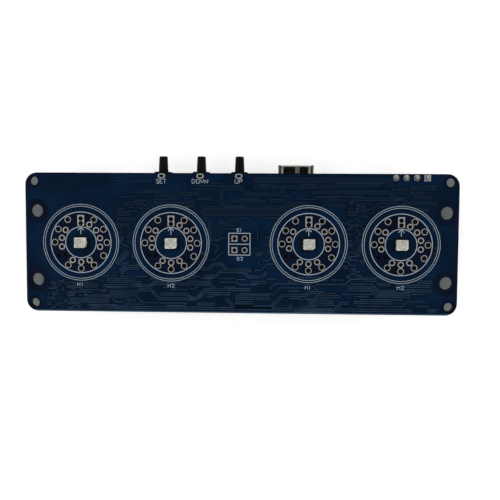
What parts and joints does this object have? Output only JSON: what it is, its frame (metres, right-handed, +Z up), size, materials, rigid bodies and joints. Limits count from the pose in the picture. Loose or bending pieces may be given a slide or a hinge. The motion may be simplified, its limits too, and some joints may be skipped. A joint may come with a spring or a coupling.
{
  "type": "nixie tube clock main board",
  "caption": "Long narrow clock board with pin circles and small lamps for glow tubes, side buttons, a power socket and its circuit underneath.",
  "frame": {"origin": "middle of the corner hole pattern on the board's underside", "axes": "+X to the right along the board, +Y to the rear where the buttons and the socket are, +Z up out of the tubes' side"},
  "size_m": [0.108, 0.0392, 0.0137],
  "materials": {
    "solder_mask": "dark blue solder mask over glass-fibre laminate, satin",
    "tinned_copper": "tinned copper, satin",
    "lamp_white": "off-white moulding",
    "lamp_resin": "yellowish resin",
    "tinned_leads": "tinned",
    "button_black": "black moulding, satin",
    "switch_black": "black moulding",
    "carrier_brown": "dark brown moulding",
    "spring_steel": "stainless spring sheet",
    "socket_steel": "plated steel sheet",
    "socket_black": "black moulding",
    "gold": "gold plated",
    "header_black": "black moulding",
    "solder": "solder",
    "can_aluminium": "bare aluminium",
    "wound_foil": "wound foil and paper",
    "bung_rubber": "black rubber",
    "base_black": "black moulding",
    "ferrite": "fired ferrite",
    "copper_wire": "enamelled copper",
    "chip_black": "black epoxy",
    "crystal_metal": "plated lid",
    "cell_steel": "nickel plated",
    "resistor_black": "glazed ceramic",
    "capacitor_tan": "fired ceramic"
  },
  "bodies": {
    "board": {"circuit_board": "solder_mask", "tube_pads_h1": "tinned_copper", "tube_pads_h2": "tinned_copper", "tube_pads_m1": "tinned_copper", "tube_pads_m2": "tinned_copper", "separator_pads": "tinned_copper", "switch_slot_pads": "tinned_copper", "header_pads": "tinned_copper", "led_housings": "lamp_white", "led_lenses": "lamp_resin", "led_leads": "tinned_leads", "set_switch_housing": "switch_black", "set_switch_carrier": "carrier_brown", "set_switch_dome": "spring_steel", "set_switch_terminals": "tinned_leads", "down_switch_housing": "switch_black", "down_switch_carrier": "carrier_brown", "down_switch_dome": "spring_steel", "down_switch_terminals": "tinned_leads", "up_switch_housing": "switch_black", "up_switch_carrier": "carrier_brown", "up_switch_dome": "spring_steel", "up_switch_terminals": "tinned_leads", "usb_shell": "socket_steel", "usb_insulator": "socket_black", "usb_contacts": "gold", "header_strip": "header_black", "header_pins": "gold", "header_solder": "solder", "capacitor_cans": "can_aluminium", "capacitor_windings": "wound_foil", "capacitor_bungs": "bung_rubber", "capacitor_bases": "base_black", "capacitor_tabs": "tinned_leads", "inductor_shield": "ferrite", "inductor_drum": "ferrite", "inductor_winding": "copper_wire", "inductor_terminals": "tinned_leads", "mosfet_body": "chip_black", "mosfet_leads": "tinned_leads", "diode_body": "chip_black", "diode_terminals": "tinned_leads", "microcontroller_body": "chip_black", "microcontroller_leads": "tinned_leads", "driver_bodies": "chip_black", "driver_leads": "tinned_leads", "small_chip_bodies": "chip_black", "small_chip_leads": "tinned_leads", "crystal": "crystal_metal", "cell_retainer": "spring_steel", "chip_resistors": "resistor_black", "chip_capacitors": "capacitor_tan", "transistor_bodies": "chip_black", "transistor_leads": "tinned_leads"},
    "set_button": {"set_button": "button_black"},
    "down_button": {"down_button": "button_black"},
    "up_button": {"up_button": "button_black"},
    "coin_cell": {"coin_cell_can": "cell_steel", "coin_cell_cap": "cell_steel"}
  },
  "joints": [
    {"name": "set_press", "type": "slide", "parent": "board", "child": "set_button", "axis": [0, -1, 0], "range_m": [0, 0.00025], "stiffness_N_per_m": 4000, "springref_m": -0.00015},
    {"name": "down_press", "type": "slide", "parent": "board", "child": "down_button", "axis": [0, -1, 0], "range_m": [0, 0.00025], "stiffness_N_per_m": 4000, "springref_m": -0.00015},
    {"name": "up_press", "type": "slide", "parent": "board", "child": "up_button", "axis": [0, -1, 0], "range_m": [0, 0.00025], "stiffness_N_per_m": 4000, "springref_m": -0.00015},
    {"name": "cell_slide", "type": "slide", "parent": "board", "child": "coin_cell", "axis": [0, -1, 0], "range_m": [0, 0.014]}
  ]
}
